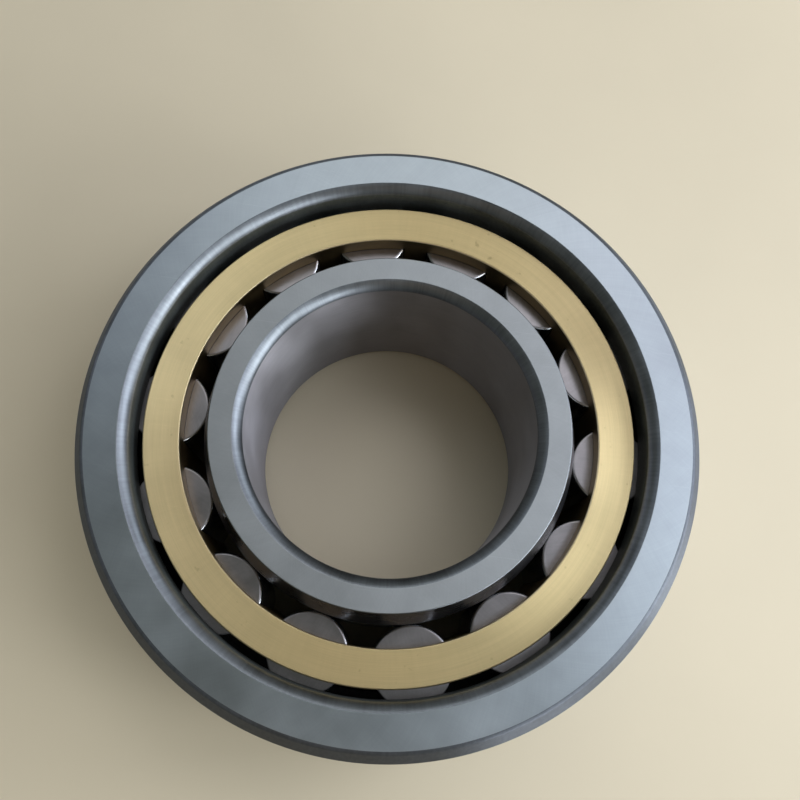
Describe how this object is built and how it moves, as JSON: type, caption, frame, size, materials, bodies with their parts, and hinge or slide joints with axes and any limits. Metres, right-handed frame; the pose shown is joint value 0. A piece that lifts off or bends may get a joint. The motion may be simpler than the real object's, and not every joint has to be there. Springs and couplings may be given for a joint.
{
  "type": "cylindrical roller bearing",
  "caption": "Radial bearing with cylindrical rollers in a riveted machined brass cage, between a flanged outer ring and a plain inner ring that can float along its axis.",
  "frame": {"origin": "centre of the bore at half the bearing's width", "axes": "+Z along the bearing's axis, away from the cage's riveted cover; +X through the first roller"},
  "size_m": [0.17, 0.17, 0.058],
  "materials": {
    "outer_ring_steel": "ground through-hardened bearing steel, satin, lightly oiled",
    "inner_ring_steel": "ground through-hardened bearing steel, satin faces and a smoother bore",
    "roller_steel": "ground and superfinished bearing steel with ground ends",
    "cage_brass": "turned brass, satin, unpolished"
  },
  "bodies": {
    "outer_ring": {"outer_ring": "outer_ring_steel"},
    "inner_ring": {"inner_ring": "inner_ring_steel"},
    "cage": {"cage_body": "cage_brass", "cage_cover": "cage_brass"},
    "roller_01": {"roller_01": "roller_steel"},
    "roller_02": {"roller_02": "roller_steel"},
    "roller_03": {"roller_03": "roller_steel"},
    "roller_04": {"roller_04": "roller_steel"},
    "roller_05": {"roller_05": "roller_steel"},
    "roller_06": {"roller_06": "roller_steel"},
    "roller_07": {"roller_07": "roller_steel"},
    "roller_08": {"roller_08": "roller_steel"},
    "roller_09": {"roller_09": "roller_steel"},
    "roller_10": {"roller_10": "roller_steel"},
    "roller_11": {"roller_11": "roller_steel"},
    "roller_12": {"roller_12": "roller_steel"},
    "roller_13": {"roller_13": "roller_steel"},
    "roller_14": {"roller_14": "roller_steel"}
  },
  "joints": [
    {"name": "inner_ring_spin", "type": "hinge", "parent": "outer_ring", "child": "inner_ring", "pos_m": [0, 0, 0], "axis": [0, 0, 1], "continuous": true},
    {"name": "cage_spin", "type": "hinge", "parent": "outer_ring", "child": "cage", "pos_m": [0, 0, 0], "axis": [0, 0, 1], "continuous": true},
    {"name": "roller_01_spin", "type": "hinge", "parent": "cage", "child": "roller_01", "pos_m": [0.06252, 0, 0], "axis": [0, 0, 1], "continuous": true},
    {"name": "roller_02_spin", "type": "hinge", "parent": "cage", "child": "roller_02", "pos_m": [0.05633, 0.02713, 0], "axis": [0, 0, 1], "continuous": true},
    {"name": "roller_03_spin", "type": "hinge", "parent": "cage", "child": "roller_03", "pos_m": [0.03898, 0.04888, 0], "axis": [0, 0, 1], "continuous": true},
    {"name": "roller_04_spin", "type": "hinge", "parent": "cage", "child": "roller_04", "pos_m": [0.01391, 0.06096, 0], "axis": [0, 0, 1], "continuous": true},
    {"name": "roller_05_spin", "type": "hinge", "parent": "cage", "child": "roller_05", "pos_m": [-0.01391, 0.06096, 0], "axis": [0, 0, 1], "continuous": true},
    {"name": "roller_06_spin", "type": "hinge", "parent": "cage", "child": "roller_06", "pos_m": [-0.03898, 0.04888, 0], "axis": [0, 0, 1], "continuous": true},
    {"name": "roller_07_spin", "type": "hinge", "parent": "cage", "child": "roller_07", "pos_m": [-0.05633, 0.02713, 0], "axis": [0, 0, 1], "continuous": true},
    {"name": "roller_08_spin", "type": "hinge", "parent": "cage", "child": "roller_08", "pos_m": [-0.06252, 0, 0], "axis": [0, 0, 1], "continuous": true},
    {"name": "roller_09_spin", "type": "hinge", "parent": "cage", "child": "roller_09", "pos_m": [-0.05633, -0.02713, 0], "axis": [0, 0, 1], "continuous": true},
    {"name": "roller_10_spin", "type": "hinge", "parent": "cage", "child": "roller_10", "pos_m": [-0.03898, -0.04888, 0], "axis": [0, 0, 1], "continuous": true},
    {"name": "roller_11_spin", "type": "hinge", "parent": "cage", "child": "roller_11", "pos_m": [-0.01391, -0.06096, 0], "axis": [0, 0, 1], "continuous": true},
    {"name": "roller_12_spin", "type": "hinge", "parent": "cage", "child": "roller_12", "pos_m": [0.01391, -0.06096, 0], "axis": [0, 0, 1], "continuous": true},
    {"name": "roller_13_spin", "type": "hinge", "parent": "cage", "child": "roller_13", "pos_m": [0.03898, -0.04888, 0], "axis": [0, 0, 1], "continuous": true},
    {"name": "roller_14_spin", "type": "hinge", "parent": "cage", "child": "roller_14", "pos_m": [0.05633, -0.02713, 0], "axis": [0, 0, 1], "continuous": true}
  ],
  "couplings": [
    {"joint": "cage_spin", "follows": "inner_ring_spin", "ratio": 0.41203},
    {"joint": "roller_01_spin", "follows": "inner_ring_spin", "ratio": -2.7541},
    {"joint": "roller_02_spin", "follows": "inner_ring_spin", "ratio": -2.7541},
    {"joint": "roller_03_spin", "follows": "inner_ring_spin", "ratio": -2.7541},
    {"joint": "roller_04_spin", "follows": "inner_ring_spin", "ratio": -2.7541},
    {"joint": "roller_05_spin", "follows": "inner_ring_spin", "ratio": -2.7541},
    {"joint": "roller_06_spin", "follows": "inner_ring_spin", "ratio": -2.7541},
    {"joint": "roller_07_spin", "follows": "inner_ring_spin", "ratio": -2.7541},
    {"joint": "roller_08_spin", "follows": "inner_ring_spin", "ratio": -2.7541},
    {"joint": "roller_09_spin", "follows": "inner_ring_spin", "ratio": -2.7541},
    {"joint": "roller_10_spin", "follows": "inner_ring_spin", "ratio": -2.7541},
    {"joint": "roller_11_spin", "follows": "inner_ring_spin", "ratio": -2.7541},
    {"joint": "roller_12_spin", "follows": "inner_ring_spin", "ratio": -2.7541},
    {"joint": "roller_13_spin", "follows": "inner_ring_spin", "ratio": -2.7541},
    {"joint": "roller_14_spin", "follows": "inner_ring_spin", "ratio": -2.7541}
  ]
}
